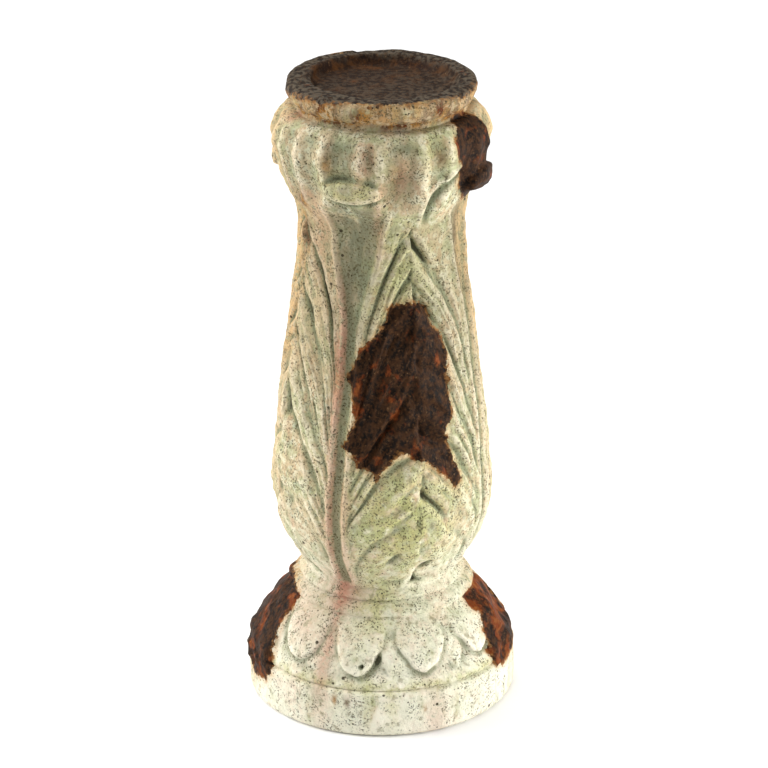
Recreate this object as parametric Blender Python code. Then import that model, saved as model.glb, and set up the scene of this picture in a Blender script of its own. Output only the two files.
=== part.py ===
# Leaf-carved cast stone baluster with a shallow dish in its top.
# It is one solid. The blank is turned like a baluster on a lathe, from the underside up to the dish,
# and the leaves, petals and flutes are then cut into it. Four leaf tips curl out under the fluted collar.
# Metres, +Z up. The origin is the centre of the underside, and the front is -Y.
# Azimuths are in degrees, counted from the front towards +X.

import math

import bmesh
import bpy
import numpy as np

STONE_HEIGHT = 0.3200

# Plinth: a plain drum that the baluster stands on
PLINTH_RADIUS = 0.0668
PLINTH_HEIGHT = 0.0240
PLINTH_EDGE = 0.0030
STEP_GROOVE_HEIGHT = 0.0021
STEP_GROOVE_DEPTH = 0.0022

# Skirt: a bell that carries two rows of petals
SKIRT_RADIUS = 0.0648
SKIRT_HEIGHT = 0.0290
SKIRT_BELLY = 0.0200
SKIRT_BELLY_RADIUS = 0.0590

# Waist: a ring and a fillet with a shallow groove below, between and above them
RING_RADIUS = 0.0462
RING_HEIGHT = 0.0066
RING_SLOPE = 0.0030
FILLET_RADIUS = 0.0414
FILLET_HEIGHT = 0.0058
WAIST_GROOVE_DEPTH = 0.0010

# Body: a bulb below and above it a tapering shaft, which takes up the height that the rest leaves
WAIST_RADIUS = 0.0390
BULB_RADIUS = 0.0548
BULB_HEIGHT = 0.0400
SHOULDER_HEIGHT = 0.0800
SHOULDER_RADIUS = 0.0464
NECK_RADIUS = 0.0395

# Collar: a fluted bulge
COLLAR_RADIUS = 0.0537
COLLAR_RISE = 0.0405
COLLAR_CAP = 0.0150
COLLAR_NECKING_RADIUS = 0.0412
COLLAR_NECKING_HEIGHT = 0.0032

# Disc with its dish
DISC_RADIUS = 0.0458
DISC_HEIGHT = 0.0108
DISC_EDGE = 0.0036
DISH_RADIUS = 0.0352
DISH_DEPTH = 0.0056
DISH_FLOOR_RADIUS = 0.0305
DISH_LIP = 0.0014

# Leaves: a channelled stem between two ribs, which end under the curled tip, and lobes that climb to
# the join with the next leaf
LEAF_COUNT = 4
LEAF_JOIN_AZIMUTH = 21.0
STEM_FOOT_AZIMUTH = -26.0
STEM_HEAD_AZIMUTH = -17.0
STEM_HALF_WIDTH = 0.0044
STEM_HEAD_HALF_WIDTH = 0.0118
STEM_FLARE_LENGTH = 0.0480
STEM_CHANNEL_DEPTH = 0.0013
STEM_RIB_WIDTH = 0.0016
STEM_RIB_HEIGHT = 0.0010
STEM_TOP_RISE = 0.0215
STEM_TOP_LENGTH = 0.0120

# Lobes of the right and left half of each leaf: how far below the neck the first one ends at the join,
# how far apart they are there, and how much wider each is than the one above. The climb of a lobe from
# the stem to the join follows pairs of a share of the body's height and a climb. The grooves of the
# right half are shallower. The carving fades out at the leaf's foot and head.
RIGHT_LOBES_BELOW_NECK = -0.0063
RIGHT_LOBE_PITCH = 0.0225
LEFT_LOBES_BELOW_NECK = 0.0013
LEFT_LOBE_PITCH = 0.0270
LOBE_GROWTH = 1.13
LOBE_CLIMBS = ((0.00, 0.012), (0.23, 0.017), (0.50, 0.034), (0.72, 0.034), (0.91, 0.025), (1.05, 0.020))
LOBE_ROOT = 0.06
LOBE_GROOVE_DEPTH = 0.0022
LOBE_GROOVE_SHARE = 0.15
RIGHT_GROOVE_DEPTH_SHARE = 0.60
LOBE_CROWN = 0.0009
LOBE_END_DEPTH = 0.0008
LEAF_FOOT_LENGTH = 0.0050
LEAF_HEAD_RISE = 0.0113
LEAF_HEAD_LENGTH = 0.0090
SLIT_DEPTH = 0.0022
SLIT_WIDTH = 0.0014

# Drilled eyes low on each leaf
EYE_DEPTH = 0.0024
EYE_WIDTH = 0.0020
EYE_LENGTH = 0.0038
EYE_OFF_JOIN = 0.0125
EYE_LEVEL = 0.0205
LOW_EYE_OFF_JOIN = 0.0050
LOW_EYE_LEVEL = 0.0145

# Curled leaf tips, one on each stem. They stand a quarter turn apart, and no two are quite alike.
TIP_HALF_WIDTH = 0.0170
TIP_RISE = 0.0078
TIP_DROP = 0.0076
TIP_REACHES = (0.0042, 0.0046, 0.0060, 0.0035)
TIPS_BELOW_COLLAR = (0.0126, 0.0160, 0.0120, 0.0130)
STEM_OPENING_LENGTH = 0.0140

# Margin of the right-hand leaf head: a raised arch over a hollow
MARGIN_AZIMUTH = 52.0
MARGIN_LEVEL = 0.0135
MARGIN_WIDTH = 27.0
MARGIN_RISE = 0.0215
MARGIN_HEIGHT = 0.0012
MARGIN_HOLLOW_DEPTH = 0.0014
MARGIN_FOOT = 0.0080

# Petals: large ones, with a small one showing between each two
PETAL_COUNT = 11
PETAL_AZIMUTH = -11.6
PETAL_HALF_WIDTH = 0.0122
PETAL_LENGTH = 0.0222
PETAL_DEPTH = 0.0028
SMALL_PETAL_HALF_WIDTH = 0.0066
SMALL_PETAL_LENGTH = 0.0252
SMALL_PETAL_DEPTH = 0.0018

# Flutes: broad and narrow ones in turn, cut by eye. Each runs from one of these azimuths to the next,
# and a broader one is deeper.
FLUTE_EDGES = (
    -66.0, -50.5, -33.5, -11.0, -2.0, 23.5, 39.5, 62.0, 72.0, 98.0, 113.0,
    137.0, 147.0, 172.0, 188.0, 213.0, 223.0, 248.0, 263.0, 284.0, 294.0,
)
FLUTE_DEPTH = 0.0030
BROAD_FLUTE = 25.0

# Fineness of the blank, and the triangles that the carved stone keeps
ROW_SPACING = 0.0012
COLUMNS = 300
KEPT_TRIANGLES = 9800

STONE_COLOUR = (0.70, 0.70, 0.58, 1.0)
STONE_ROUGHNESS = 0.9

SKIRT_FOOT = PLINTH_HEIGHT + STEP_GROOVE_HEIGHT
RING_FOOT = SKIRT_FOOT + SKIRT_HEIGHT
FILLET_FOOT = RING_FOOT + RING_HEIGHT
BODY_FOOT = FILLET_FOOT + FILLET_HEIGHT
BULB_LEVEL = BODY_FOOT + BULB_HEIGHT
DISH_FLOOR = STONE_HEIGHT - DISH_DEPTH
DISC_FOOT = STONE_HEIGHT - DISC_HEIGHT
COLLAR_TOP = DISC_FOOT - COLLAR_NECKING_HEIGHT
COLLAR_LEVEL = COLLAR_TOP - COLLAR_CAP
NECK_LEVEL = COLLAR_LEVEL - COLLAR_RISE


def ease(value):
    """0 below 0 and 1 above 1, with a smooth rise between."""
    share = np.clip(value, 0.0, 1.0)
    return share * share * (3.0 - 2.0 * share)


def ridge(distance, width):
    """1 on a line and close to 0 at twice the width away from it."""
    return np.exp(-((distance / width) ** 2))


def straight(start, end):
    """(radius, height) points from start towards end, without the end itself."""
    steps = max(1, round(math.dist(start, end) / ROW_SPACING))
    shares = np.arange(steps)[:, None] / steps
    return np.array(start) + shares * (np.array(end) - np.array(start))


def rounded(start, end, leaves_upright):
    """A quarter of an ellipse from start towards end, which leaves start upright or level."""
    steps = max(4, round(math.dist(start, end) * math.pi / 2.8 / ROW_SPACING))
    angle = np.arange(steps)[:, None] / steps * math.pi / 2
    late, early = 1 - np.cos(angle), np.sin(angle)
    shares = np.hstack((late, early) if leaves_upright else (early, late))
    return np.array(start) + shares * (np.array(end) - np.array(start))


def flowing(*knots):
    """A smooth curve up through the knots, without the last one. It bulges no further than they do."""
    radii, heights = np.array(knots).T
    gaps = np.diff(heights)
    slopes = np.diff(radii) / gaps
    tangents = np.append(slopes[0], slopes)
    for i in range(1, len(slopes)):
        before, after = slopes[i - 1], slopes[i]
        tangents[i] = 2 * before * after / (before + after) if before * after > 0 else 0.0
    steps = max(2, round((heights[-1] - heights[0]) / ROW_SPACING))
    levels = heights[0] + np.arange(steps) / steps * (heights[-1] - heights[0])
    piece = np.searchsorted(heights, levels, side="right") - 1
    t = (levels - heights[piece]) / gaps[piece]
    curve = (
        radii[piece] * (1 + 2 * t) * (1 - t) ** 2
        + tangents[piece] * gaps[piece] * t * (1 - t) ** 2
        + radii[piece + 1] * t * t * (3 - 2 * t)
        + tangents[piece + 1] * gaps[piece] * t * t * (t - 1)
    )
    return np.column_stack((curve, levels))


def base_profile():
    """From the rim of the underside up to the top of the fillet."""
    groove = SKIRT_RADIUS - STEP_GROOVE_DEPTH
    ring_foot = RING_RADIUS - WAIST_GROOVE_DEPTH
    fillet_foot = FILLET_RADIUS - WAIST_GROOVE_DEPTH
    return [
        rounded((PLINTH_RADIUS - PLINTH_EDGE, 0.0), (PLINTH_RADIUS, PLINTH_EDGE), False),
        straight((PLINTH_RADIUS, PLINTH_EDGE), (PLINTH_RADIUS, PLINTH_HEIGHT - PLINTH_EDGE / 2)),
        rounded((PLINTH_RADIUS, PLINTH_HEIGHT - PLINTH_EDGE / 2), (groove, PLINTH_HEIGHT), True),
        rounded((groove, PLINTH_HEIGHT), (SKIRT_RADIUS, SKIRT_FOOT), False),
        flowing(
            (SKIRT_RADIUS, SKIRT_FOOT),
            (SKIRT_BELLY_RADIUS, SKIRT_FOOT + SKIRT_BELLY * 0.65),
            (SKIRT_BELLY_RADIUS * 0.6 + RING_RADIUS * 0.4, SKIRT_FOOT + SKIRT_BELLY),
            (ring_foot, RING_FOOT),
        ),
        flowing(
            (ring_foot, RING_FOOT),
            (RING_RADIUS, RING_FOOT + RING_HEIGHT * 0.2),
            (RING_RADIUS - RING_SLOPE * 0.3, RING_FOOT + RING_HEIGHT * 0.5),
            (RING_RADIUS - RING_SLOPE, RING_FOOT + RING_HEIGHT * 0.85),
            (fillet_foot, FILLET_FOOT),
        ),
        flowing(
            (fillet_foot, FILLET_FOOT),
            (FILLET_RADIUS, FILLET_FOOT + FILLET_HEIGHT * 0.25),
            (WAIST_RADIUS + WAIST_GROOVE_DEPTH / 2, FILLET_FOOT + FILLET_HEIGHT * 0.8),
            (WAIST_RADIUS - WAIST_GROOVE_DEPTH / 2, BODY_FOOT),
        ),
    ]


def body_profile():
    """From the top of the fillet over bulb, shaft and collar to the groove under the disc."""
    bulb_swell = BULB_RADIUS - WAIST_RADIUS
    shaft_fall = BULB_RADIUS - SHOULDER_RADIUS
    collar_swell = COLLAR_RADIUS - NECK_RADIUS
    return [
        flowing(
            (WAIST_RADIUS - WAIST_GROOVE_DEPTH / 2, BODY_FOOT),
            (WAIST_RADIUS + bulb_swell * 0.30, BODY_FOOT + BULB_HEIGHT * 0.24),
            (WAIST_RADIUS + bulb_swell * 0.78, BODY_FOOT + BULB_HEIGHT * 0.60),
            (BULB_RADIUS, BULB_LEVEL),
            (BULB_RADIUS - shaft_fall * 0.30, BULB_LEVEL + SHOULDER_HEIGHT * 0.45),
            (SHOULDER_RADIUS, BULB_LEVEL + SHOULDER_HEIGHT),
            (NECK_RADIUS, NECK_LEVEL),
            (NECK_RADIUS + collar_swell * 0.10, NECK_LEVEL + COLLAR_RISE * 0.20),
            (NECK_RADIUS + collar_swell * 0.42, NECK_LEVEL + COLLAR_RISE * 0.38),
            (NECK_RADIUS + collar_swell * 0.78, NECK_LEVEL + COLLAR_RISE * 0.70),
            (COLLAR_RADIUS, COLLAR_LEVEL),
        ),
        rounded((COLLAR_RADIUS, COLLAR_LEVEL), (COLLAR_NECKING_RADIUS, COLLAR_TOP), True),
        straight((COLLAR_NECKING_RADIUS, COLLAR_TOP), (COLLAR_NECKING_RADIUS, DISC_FOOT)),
    ]


def disc_profile():
    """From the groove under the disc over its rim to the edge of the dish's floor."""
    rim_level = STONE_HEIGHT - DISC_EDGE
    return [
        rounded((COLLAR_NECKING_RADIUS, DISC_FOOT), (DISC_RADIUS, rim_level), False),
        rounded((DISC_RADIUS, rim_level), (DISC_RADIUS - DISC_EDGE, STONE_HEIGHT), True),
        straight((DISC_RADIUS - DISC_EDGE, STONE_HEIGHT), (DISH_RADIUS + DISH_LIP, STONE_HEIGHT)),
        rounded((DISH_RADIUS + DISH_LIP, STONE_HEIGHT), (DISH_RADIUS, STONE_HEIGHT - DISH_LIP), False),
        rounded((DISH_RADIUS, STONE_HEIGHT - DISH_LIP), (DISH_FLOOR_RADIUS, DISH_FLOOR), True),
    ]


def around(azimuth, first, count):
    """Degrees from the nearest of count equal places round the axis."""
    step = 360.0 / count
    return np.mod(azimuth - first + step / 2, step) - step / 2


def stem_azimuth(height):
    """The stems lean a little as they climb."""
    climb = np.clip((height - BODY_FOOT) / (NECK_LEVEL - BODY_FOOT), 0.0, 1.0)
    return STEM_FOOT_AZIMUTH + (STEM_HEAD_AZIMUTH - STEM_FOOT_AZIMUTH) * climb


def stem_half_width(height):
    """The stem opens out below its curled tip."""
    flare = ease((height - NECK_LEVEL + STEM_FLARE_LENGTH) / STEM_FLARE_LENGTH)
    opening = ease((height - NECK_LEVEL) / STEM_OPENING_LENGTH)
    return (
        STEM_HALF_WIDTH
        + (STEM_HEAD_HALF_WIDTH - STEM_HALF_WIDTH) * flare
        + (TIP_HALF_WIDTH - STEM_HEAD_HALF_WIDTH) * opening
    )


def lobe_number(share, height, left_half):
    """Which lobe a point is on, counted down from the neck, and how far down that lobe, as one number."""
    level = (height - BODY_FOOT) / (NECK_LEVEL - BODY_FOOT)
    climb = np.interp(level, *zip(*LOBE_CLIMBS)) * np.log((1.0 + LOBE_ROOT) / (share + LOBE_ROOT))
    start = np.where(left_half, LEFT_LOBES_BELOW_NECK, RIGHT_LOBES_BELOW_NECK)
    pitch = np.where(left_half, LEFT_LOBE_PITCH, RIGHT_LOBE_PITCH)
    below = np.maximum((NECK_LEVEL - start - height - climb) / pitch, -2.0)
    return np.log1p(below * (LOBE_GROWTH - 1.0)) / math.log(LOBE_GROWTH), pitch


def eye_cut(across, above):
    """A drilled eye, drawn out into a slanting drop."""
    along = (across + above) / math.sqrt(2) / EYE_LENGTH
    athwart = (across - above) / math.sqrt(2) / EYE_WIDTH
    return EYE_DEPTH * ridge(np.hypot(along, athwart), 1.0)


def lobes_cut(share, height, left_half):
    """The lobes of half a leaf. share is 0 at the stem and 1 at the join with the next leaf."""
    lobe, pitch = lobe_number(share, height, left_half)
    part = np.mod(lobe, 1.0)
    to_groove = np.minimum(part, 1.0 - part)
    outward = ease(share / 0.45)
    groove = LOBE_GROOVE_DEPTH * np.where(left_half, 1.0, RIGHT_GROOVE_DEPTH_SHARE)
    groove = groove * ridge(to_groove, LOBE_GROOVE_SHARE) * (0.30 + 0.70 * outward)
    crown = (LOBE_CROWN * outward + LOBE_END_DEPTH * ease((share - 0.85) / 0.15)) * (2.0 * part - 1.0) ** 2
    off_slit = to_groove * pitch * LOBE_GROWTH**lobe / 2.0
    slit = SLIT_DEPTH * ridge(off_slit, SLIT_WIDTH) * ease((share - 0.55) / 0.20) * left_half
    return np.where(lobe > -0.4, groove + crown + slit, 0.0)


def leaf_cut(azimuth, height, radius):
    """How deep the leaves are cut below the turned blank."""
    length = np.radians(radius)
    sector = 360.0 / LEAF_COUNT
    past_join = np.mod(azimuth - LEAF_JOIN_AZIMUTH, sector)
    stem_place = np.mod(stem_azimuth(height) - LEAF_JOIN_AZIMUTH, sector)
    left_half = past_join < stem_place
    span = np.where(left_half, stem_place, sector - stem_place) * length
    from_stem = np.abs(past_join - stem_place) * length
    half_width = stem_half_width(height)
    share = np.clip((from_stem - half_width) / (span - half_width), 0.0, 1.0)
    head = ease((height - NECK_LEVEL + STEM_FLARE_LENGTH) / STEM_FLARE_LENGTH)
    inside = np.clip(from_stem / half_width, 0.0, 1.0)
    channel = STEM_CHANNEL_DEPTH * (1.0 + head) * (1.0 - inside**2)
    stem_ends = ease((NECK_LEVEL + STEM_TOP_RISE - height) / STEM_TOP_LENGTH)
    lobes_end = ease((NECK_LEVEL + LEAF_HEAD_RISE - height) / LEAF_HEAD_LENGTH)
    cut = np.where(from_stem < half_width, channel * stem_ends, lobes_cut(share, height, left_half) * lobes_end)
    rib = ridge(from_stem - half_width, STEM_RIB_WIDTH)
    cut = cut * (1.0 - rib) - STEM_RIB_HEIGHT * rib * stem_ends
    join = around(azimuth, LEAF_JOIN_AZIMUTH, LEAF_COUNT) * length
    above = height - BODY_FOOT
    cut = cut + eye_cut(join + EYE_OFF_JOIN, above - EYE_LEVEL)
    cut = cut + eye_cut(join - LOW_EYE_OFF_JOIN, above - LOW_EYE_LEVEL)
    return cut * ease(above / LEAF_FOOT_LENGTH)


def petal_inside(azimuth, height, radius, first, half_width, length):
    """How far inside a petal's outline, and how far off its middle line, as shares of its half width."""
    across = np.abs(around(azimuth, first, PETAL_COUNT)) * np.radians(radius) / half_width
    down = np.clip((RING_FOOT - height) / length, 0.0, 1.0)
    outline = np.sqrt(1.0 - np.clip((down - 0.40) / 0.60, 0.0, 1.0) ** 2.2)
    return outline - across, np.clip(across, 0.0, 1.0)


def petal_cut(azimuth, height, radius):
    """How deep the skirt is cut: large petals stand highest, and small ones show between them."""
    large, across = petal_inside(azimuth, height, radius, PETAL_AZIMUTH, PETAL_HALF_WIDTH, PETAL_LENGTH)
    between = PETAL_AZIMUTH + 180.0 / PETAL_COUNT
    small, small_across = petal_inside(
        azimuth, height, radius, between, SMALL_PETAL_HALF_WIDTH, SMALL_PETAL_LENGTH
    )
    pillow = 0.4 * PETAL_DEPTH * across**3
    tongue = SMALL_PETAL_DEPTH * (1.0 + 0.4 * small_across**2)
    cut = PETAL_DEPTH + (tongue - PETAL_DEPTH) * ease(small / 0.40)
    cut = cut + (pillow - cut) * ease((large + 0.04) / 0.22)
    window = ease((height - SKIRT_FOOT) / 0.006) * ease((RING_FOOT - height) / 0.003)
    return cut * window


def flute_cut(azimuth, height):
    """How deep the flutes are cut into the collar."""
    edges = np.array(FLUTE_EDGES)
    turned = np.mod(azimuth - edges[0], 360.0) + edges[0]
    number = np.clip(np.searchsorted(edges, turned, side="right"), 1, len(edges) - 1)
    width = edges[number] - edges[number - 1]
    off = np.abs(2.0 * (turned - edges[number - 1]) / width - 1.0)
    cut = FLUTE_DEPTH * width / BROAD_FLUTE * np.cos(math.pi / 2.0 * off**1.3) ** 2
    rise = ease((height - NECK_LEVEL - COLLAR_RISE * 0.20) / (COLLAR_RISE * 0.45))
    cap = ease((COLLAR_TOP - height) / (COLLAR_CAP * 0.5))
    return cut * rise * cap


def tip_rise(azimuth, height, radius):
    """How far the curled leaf tips stand out of the neck and the collar. Each is a lens with a low brow."""
    rise = np.zeros(len(height))
    for number, (reach, below_collar) in enumerate(zip(TIP_REACHES, TIPS_BELOW_COLLAR)):
        off = around(azimuth, STEM_HEAD_AZIMUTH + 90.0 * number, 1)
        across = np.clip(np.abs(off) * np.radians(radius) / TIP_HALF_WIDTH, 0.0, 1.0)
        lens = np.maximum((1.0 - across**2) ** 0.75, 0.1)
        above = height - (COLLAR_LEVEL - below_collar)
        brow = np.clip(above / (TIP_RISE * lens), 0.0, 1.0)
        under = np.clip(-above / (TIP_DROP * lens), 0.0, 1.0)
        face = np.where(above > 0.0, (1.0 - 0.75 * brow**1.5) * ease((1.0 - brow) / 0.40), 1.0 + 0.10 * under)
        side = ease((1.0 - across) / 0.30) * (0.40 + 0.60 * lens)
        rise = np.maximum(rise, reach * face * side * ease((1.0 - under) / 0.40))
    return rise


def margin_rise(azimuth, height):
    """The margin of one leaf head: a raised arch over a hollow, from the tip down to the left."""
    off = around(azimuth, MARGIN_AZIMUTH, 1) / MARGIN_WIDTH
    above = height - NECK_LEVEL - MARGIN_LEVEL
    reach = np.hypot(off, above / MARGIN_RISE)
    arch = MARGIN_HEIGHT * ridge(reach - 1.03, 0.09)
    hollow = MARGIN_HOLLOW_DEPTH * ridge(reach - 0.84, 0.11)
    return (arch - hollow) * ease((0.15 - off) / 0.30) * ease((above + MARGIN_FOOT) / MARGIN_FOOT)


def carved(points):
    """The blank's points, moved to the carved surface."""
    radius = np.hypot(points[:, 0], points[:, 1])
    azimuth = np.degrees(np.arctan2(points[:, 0], -points[:, 1]))
    height = points[:, 2]
    on_leaves = (height > BODY_FOOT) & (height < COLLAR_LEVEL)
    on_skirt = (height > SKIRT_FOOT) & (height < RING_FOOT)
    on_collar = (height > NECK_LEVEL) & (height < COLLAR_TOP)
    cut = np.where(on_leaves, leaf_cut(azimuth, height, radius), 0.0)
    cut = cut + np.where(on_skirt, petal_cut(azimuth, height, radius), 0.0)
    rise = np.where(on_leaves, tip_rise(azimuth, height, radius), 0.0)
    cut = cut - np.where(on_leaves, margin_rise(azimuth, height), 0.0)
    flutes = np.where(on_collar, flute_cut(azimuth, height), 0.0)
    cut = cut + flutes * (1.0 - ease(rise / FLUTE_DEPTH))
    scale = (radius - cut + rise) / np.maximum(radius, PLINTH_EDGE)
    return points * np.column_stack((scale, scale, np.ones(len(points))))


def turned_blank():
    """The lathe work: the profile turned once round the axis. Underside and dish floor are still open."""
    rows = np.vstack(base_profile() + body_profile() + disc_profile() + [(DISH_FLOOR_RADIUS, DISH_FLOOR)])
    line = [(i, i + 1) for i in range(len(rows) - 1)]
    mesh = bpy.data.meshes.new("profile")
    mesh.from_pydata([(radius, 0.0, height) for radius, height in rows.tolist()], line, [])
    blank = bpy.data.objects.new("blank", mesh)
    bpy.context.scene.collection.objects.link(blank)
    turn = blank.modifiers.new("turn", "SCREW")
    turn.steps = turn.render_steps = COLUMNS
    turn.use_merge_vertices = True
    turn.merge_threshold = 1e-5
    return evaluated_copy(blank)


def evaluated_copy(shape):
    """The shape's mesh with its modifiers applied. The shape itself is removed."""
    graph = bpy.context.evaluated_depsgraph_get()
    mesh = bpy.data.meshes.new_from_object(shape.evaluated_get(graph))
    bpy.data.objects.remove(shape)
    return mesh


def moved(mesh, change):
    """The mesh with its points replaced by change(points)."""
    points = np.empty(len(mesh.vertices) * 3)
    mesh.vertices.foreach_get("co", points)
    mesh.vertices.foreach_set("co", change(points.reshape(-1, 3)).ravel())
    mesh.update()
    return mesh


def thinned(mesh):
    """The mesh with only the triangles that its form needs."""
    shape = bpy.data.objects.new("thick", mesh)
    bpy.context.scene.collection.objects.link(shape)
    thin = shape.modifiers.new("thin", "DECIMATE")
    thin.ratio = min(1.0, KEPT_TRIANGLES / sum(len(face.vertices) - 2 for face in mesh.polygons))
    return evaluated_copy(shape)


def stone_material():
    """Pale lime-washed cast stone."""
    material = bpy.data.materials.new("lime_washed_stone")
    material.use_nodes = True
    shader = material.node_tree.nodes["Principled BSDF"]
    shader.inputs["Base Color"].default_value = STONE_COLOUR
    shader.inputs["Roughness"].default_value = STONE_ROUGHNESS
    shader.inputs["Metallic"].default_value = 0.0
    return material


def closed(mesh):
    """The carved skin closed by a truly flat underside, to stand on, and a truly flat dish floor."""
    skin = bmesh.new()
    skin.from_mesh(mesh)
    rims = [edge for edge in skin.edges if edge.is_boundary]
    for vertex in {vertex for edge in rims for vertex in edge.verts}:
        vertex.co.z = 0.0 if vertex.co.z < STONE_HEIGHT / 2 else DISH_FLOOR
    flats = bmesh.ops.holes_fill(skin, edges=rims)["faces"]
    bmesh.ops.triangulate(skin, faces=flats)
    bmesh.ops.recalc_face_normals(skin, faces=skin.faces)
    skin.to_mesh(mesh)
    skin.free()
    return mesh


def make_baluster():
    """The whole stone: turned, carved, thinned and closed."""
    mesh = closed(thinned(moved(turned_blank(), carved)))
    mesh.name = "baluster"
    mesh.shade_smooth()
    mesh.materials.append(stone_material())
    baluster = bpy.data.objects.new("baluster", mesh)
    bpy.context.scene.collection.objects.link(baluster)


for left_over in list(bpy.data.objects):
    bpy.data.objects.remove(left_over)
make_baluster()
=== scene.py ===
import math

import bmesh
import bpy
import numpy as np
from mathutils import Euler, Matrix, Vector


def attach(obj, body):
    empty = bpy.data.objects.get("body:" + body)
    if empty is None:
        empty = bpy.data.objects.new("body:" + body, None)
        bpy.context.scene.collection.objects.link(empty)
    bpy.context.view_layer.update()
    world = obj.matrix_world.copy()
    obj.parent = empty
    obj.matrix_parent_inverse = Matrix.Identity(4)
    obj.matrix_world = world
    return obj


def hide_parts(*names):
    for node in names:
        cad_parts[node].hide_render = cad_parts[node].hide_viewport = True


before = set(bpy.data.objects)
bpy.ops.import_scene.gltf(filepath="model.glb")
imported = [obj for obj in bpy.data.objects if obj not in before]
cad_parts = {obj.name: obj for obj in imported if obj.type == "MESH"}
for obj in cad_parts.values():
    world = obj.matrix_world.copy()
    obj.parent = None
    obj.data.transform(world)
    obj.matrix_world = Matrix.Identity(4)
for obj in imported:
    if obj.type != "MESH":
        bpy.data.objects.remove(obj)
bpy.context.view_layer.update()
scene = bpy.context.scene


# Camera: it stands 1.64 m in front of the stone and looks down on it by 23 degrees.
# A long lens keeps the stone's sides nearly parallel.
CAMERA_PLACE = (0.0012, -1.636, 0.851)
CAMERA_TILT = 22.87
SENSOR_WIDTH = 36.0
PICTURE_WIDTH_PIXELS = 768
LENS_PIXELS = 3604

camera = bpy.data.objects.new("camera", bpy.data.cameras.new("camera"))
camera.data.sensor_width = SENSOR_WIDTH
camera.data.lens = SENSOR_WIDTH * LENS_PIXELS / PICTURE_WIDTH_PIXELS
camera.location = CAMERA_PLACE
camera.rotation_euler = Euler((math.radians(90.0 - CAMERA_TILT), 0.0, 0.0))
scene.collection.objects.link(camera)
scene.camera = camera


# Turned form of the stone: a round plinth, a bell-shaped skirt, a waist of ring and fillet, a bulb
# with a tapering shaft, a neck, a bulging collar and a disc with a shallow dish. It is one casting.
STONE_HEIGHT = 0.3200
PLINTH_RADIUS = 0.0668
PLINTH_HEIGHT = 0.0240
PLINTH_EDGE = 0.0030
STEP_GROOVE_HEIGHT = 0.0021
STEP_GROOVE_DEPTH = 0.0008
SKIRT_RADIUS = 0.0648
SKIRT_HEIGHT = 0.0290
SKIRT_BELLY = 0.0200
SKIRT_BELLY_RADIUS = 0.0590
RING_RADIUS = 0.0462
RING_HEIGHT = 0.0066
RING_SLOPE = 0.0030
FILLET_RADIUS = 0.0414
FILLET_HEIGHT = 0.0058
WAIST_GROOVE_DEPTH = 0.0010
WAIST_RADIUS = 0.0390
BULB_RADIUS = 0.0548
BULB_HEIGHT = 0.0400
SHOULDER_HEIGHT = 0.0800
SHOULDER_RADIUS = 0.0464
NECK_RADIUS = 0.0395
COLLAR_RADIUS = 0.0537
COLLAR_RISE = 0.0405
COLLAR_CAP = 0.0150
COLLAR_NECKING_RADIUS = 0.0412
COLLAR_NECKING_HEIGHT = 0.0032
DISC_RADIUS = 0.0458
DISC_HEIGHT = 0.0108
DISC_EDGE = 0.0036
DISH_RADIUS = 0.0352
DISH_DEPTH = 0.0056
DISH_FLOOR_RADIUS = 0.0305
DISH_LIP = 0.0014
ROW_SPACING = 0.0007
COLUMNS = 560

SKIRT_FOOT = PLINTH_HEIGHT + STEP_GROOVE_HEIGHT
RING_FOOT = SKIRT_FOOT + SKIRT_HEIGHT
FILLET_FOOT = RING_FOOT + RING_HEIGHT
BODY_FOOT = FILLET_FOOT + FILLET_HEIGHT
BULB_LEVEL = BODY_FOOT + BULB_HEIGHT
DISH_FLOOR = STONE_HEIGHT - DISH_DEPTH
DISC_FOOT = STONE_HEIGHT - DISC_HEIGHT
COLLAR_TOP = DISC_FOOT - COLLAR_NECKING_HEIGHT
COLLAR_LEVEL = COLLAR_TOP - COLLAR_CAP
NECK_LEVEL = COLLAR_LEVEL - COLLAR_RISE


def ease(value):
    """0 below 0 and 1 above 1, with a smooth rise between."""
    share = np.clip(value, 0.0, 1.0)
    return share * share * (3.0 - 2.0 * share)


def ridge(distance, width):
    """1 on a line and close to 0 at twice the width away from it."""
    return np.exp(-((distance / width) ** 2))


def straight(start, end):
    """(radius, height) points from start towards end, without the end itself."""
    steps = max(1, round(math.dist(start, end) / ROW_SPACING))
    shares = np.arange(steps)[:, None] / steps
    return np.array(start) + shares * (np.array(end) - np.array(start))


def rounded(start, end, leaves_upright):
    """A quarter of an ellipse from start towards end, which leaves start upright or level."""
    steps = max(4, round(math.dist(start, end) * math.pi / 2.8 / ROW_SPACING))
    angle = np.arange(steps)[:, None] / steps * math.pi / 2
    late, early = 1 - np.cos(angle), np.sin(angle)
    shares = np.hstack((late, early) if leaves_upright else (early, late))
    return np.array(start) + shares * (np.array(end) - np.array(start))


def flowing(*knots):
    """A smooth curve up through the knots, without the last one. It bulges no further than they do."""
    radii, heights = np.array(knots).T
    gaps = np.diff(heights)
    slopes = np.diff(radii) / gaps
    tangents = np.append(slopes[0], slopes)
    for i in range(1, len(slopes)):
        before, after = slopes[i - 1], slopes[i]
        tangents[i] = 2 * before * after / (before + after) if before * after > 0 else 0.0
    steps = max(2, round((heights[-1] - heights[0]) / ROW_SPACING))
    levels = heights[0] + np.arange(steps) / steps * (heights[-1] - heights[0])
    piece = np.searchsorted(heights, levels, side="right") - 1
    t = (levels - heights[piece]) / gaps[piece]
    curve = (
        radii[piece] * (1 + 2 * t) * (1 - t) ** 2
        + tangents[piece] * gaps[piece] * t * (1 - t) ** 2
        + radii[piece + 1] * t * t * (3 - 2 * t)
        + tangents[piece + 1] * gaps[piece] * t * t * (t - 1)
    )
    return np.column_stack((curve, levels))


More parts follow.
